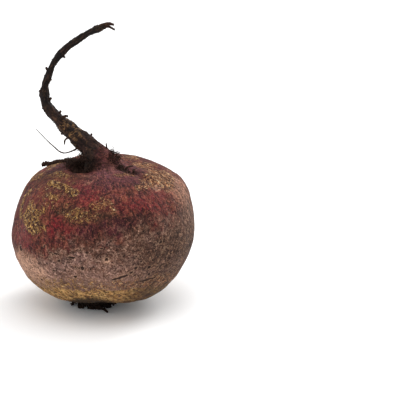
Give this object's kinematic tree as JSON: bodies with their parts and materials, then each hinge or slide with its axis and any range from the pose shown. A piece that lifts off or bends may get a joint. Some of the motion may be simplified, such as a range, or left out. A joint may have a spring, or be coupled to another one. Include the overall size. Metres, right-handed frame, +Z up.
{
  "type": "beetroot",
  "caption": "Whole raw beetroot with a squat round root, a thin curling taproot with broken rootlets, and a trimmed crown of dried leaf-stalk stubs that it stands on",
  "frame": {"origin": "the middle of the trimmed flat of the leaf-stalk tuft, which is what the beetroot stands on", "axes": "+Z points up from the floor, the taproot rises towards +Z; -Y is the side seen in the picture and +X is to its right, so the taproot leans to -X and curls back to +X at its tip"},
  "size_m": [0.0801, 0.0788, 0.1274],
  "materials": {
    "skin": "matte earthy skin of a raw root, dull purple-red above and dusty mauve-brown below, with netted tan corky patches",
    "dried_stalk": "dry, matte, nearly black plant fibre"
  },
  "bodies": {
    "root": {"beetroot": "skin", "leaf_stalk_stubs": "dried_stalk"}
  },
  "joints": []
}
